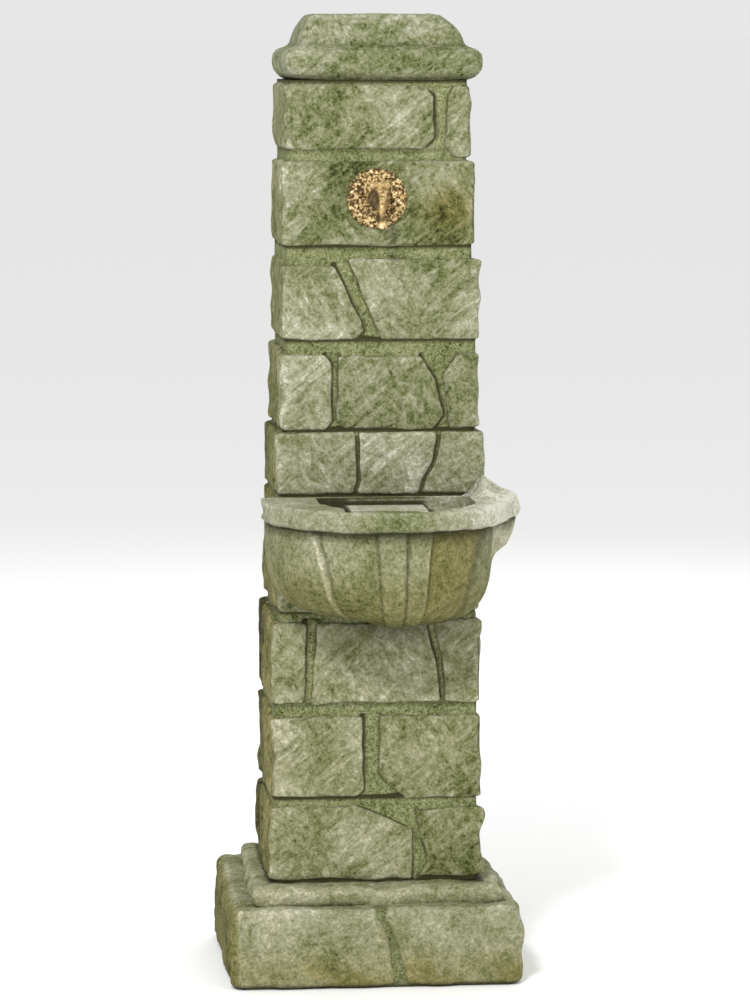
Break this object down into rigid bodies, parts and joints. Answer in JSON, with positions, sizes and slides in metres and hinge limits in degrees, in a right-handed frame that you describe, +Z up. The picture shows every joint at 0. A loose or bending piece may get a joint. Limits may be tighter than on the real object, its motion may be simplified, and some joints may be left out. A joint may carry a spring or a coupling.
{
  "type": "pillar drinking fountain",
  "caption": "Free-standing stone pillar drinking fountain with a plug tap on a brass rosette, a half-round shell basin below it and a stepped plinth.",
  "frame": {"origin": "centre of the plinth's underside, on the ground", "axes": "+Z up, the front with tap and basin faces -Y, +X to the right seen from the front"},
  "size_m": [0.412, 0.5454, 1.4],
  "materials": {
    "cast_stone": "rough weathered stone, algae green in the hollows",
    "mortar": "rough mossy mortar",
    "concrete": "plain cast concrete",
    "brass": "aged cast brass",
    "copper": "drawn copper tube",
    "steel": "stainless, brushed",
    "plastic": "moulded waste fitting",
    "rubber": "matt",
    "lever_paint": "dipped plastic grip"
  },
  "bodies": {
    "pillar": {"base_slab": "concrete", "plinth_core": "concrete", "plinth_stones": "cast_stone", "plinth_step": "cast_stone", "column_core": "concrete", "mortar_joints": "mortar", "course_1": "cast_stone", "course_2": "cast_stone", "course_3": "cast_stone", "course_4": "cast_stone", "course_5": "cast_stone", "course_6": "cast_stone", "course_7": "cast_stone", "course_8": "cast_stone", "course_9": "cast_stone", "basin": "cast_stone", "basin_bedding": "mortar", "basin_dowels": "steel", "rosette": "brass", "tap_seal": "rubber", "tap_body": "brass", "tap_washer": "steel", "tap_backnut": "brass", "supply_elbow": "brass", "supply_riser": "copper", "stop_valve_body": "brass", "supply_tail": "copper", "supply_union": "brass", "pipe_clips": "plastic", "drain_tube": "copper", "drain_washer": "rubber", "drain_nut": "brass", "trap_body": "plastic", "trap_cup": "plastic", "waste_elbow": "plastic", "waste_pipe": "plastic", "waste_coupling": "plastic", "access_frame": "steel", "access_cover": "steel", "access_screws": "steel"},
    "cap": {"cap_stone": "cast_stone"},
    "cup_rest_slab": {"cup_rest": "cast_stone"},
    "drain_grid": {"waste_grid": "steel"},
    "tap_key": {"tap_plug": "brass", "tap_plug_washer": "brass", "tap_plug_nut": "brass"},
    "valve_key": {"stop_valve_ball": "steel", "stop_valve_stem": "steel", "stop_valve_lever": "lever_paint", "stop_valve_nut": "steel"}
  },
  "joints": [
    {"name": "tap_turn", "type": "hinge", "parent": "pillar", "child": "tap_key", "pos_m": [0, -0.15803, 1.137], "axis": [0, 0, 1], "range_deg": [0, 90]},
    {"name": "stop_valve_turn", "type": "hinge", "parent": "pillar", "child": "valve_key", "pos_m": [0, 0.025, 0.455], "axis": [0, 1, 0], "range_deg": [0, 90]},
    {"name": "cap_lift", "type": "slide", "parent": "pillar", "child": "cap", "axis": [0, 0, 1], "range_m": [0, 0.08]},
    {"name": "cup_rest_lift", "type": "slide", "parent": "pillar", "child": "cup_rest_slab", "axis": [0, 0, 1], "range_m": [0, 0.1]},
    {"name": "grid_lift", "type": "slide", "parent": "pillar", "child": "drain_grid", "axis": [0, 0, 1], "range_m": [0, 0.12]}
  ]
}
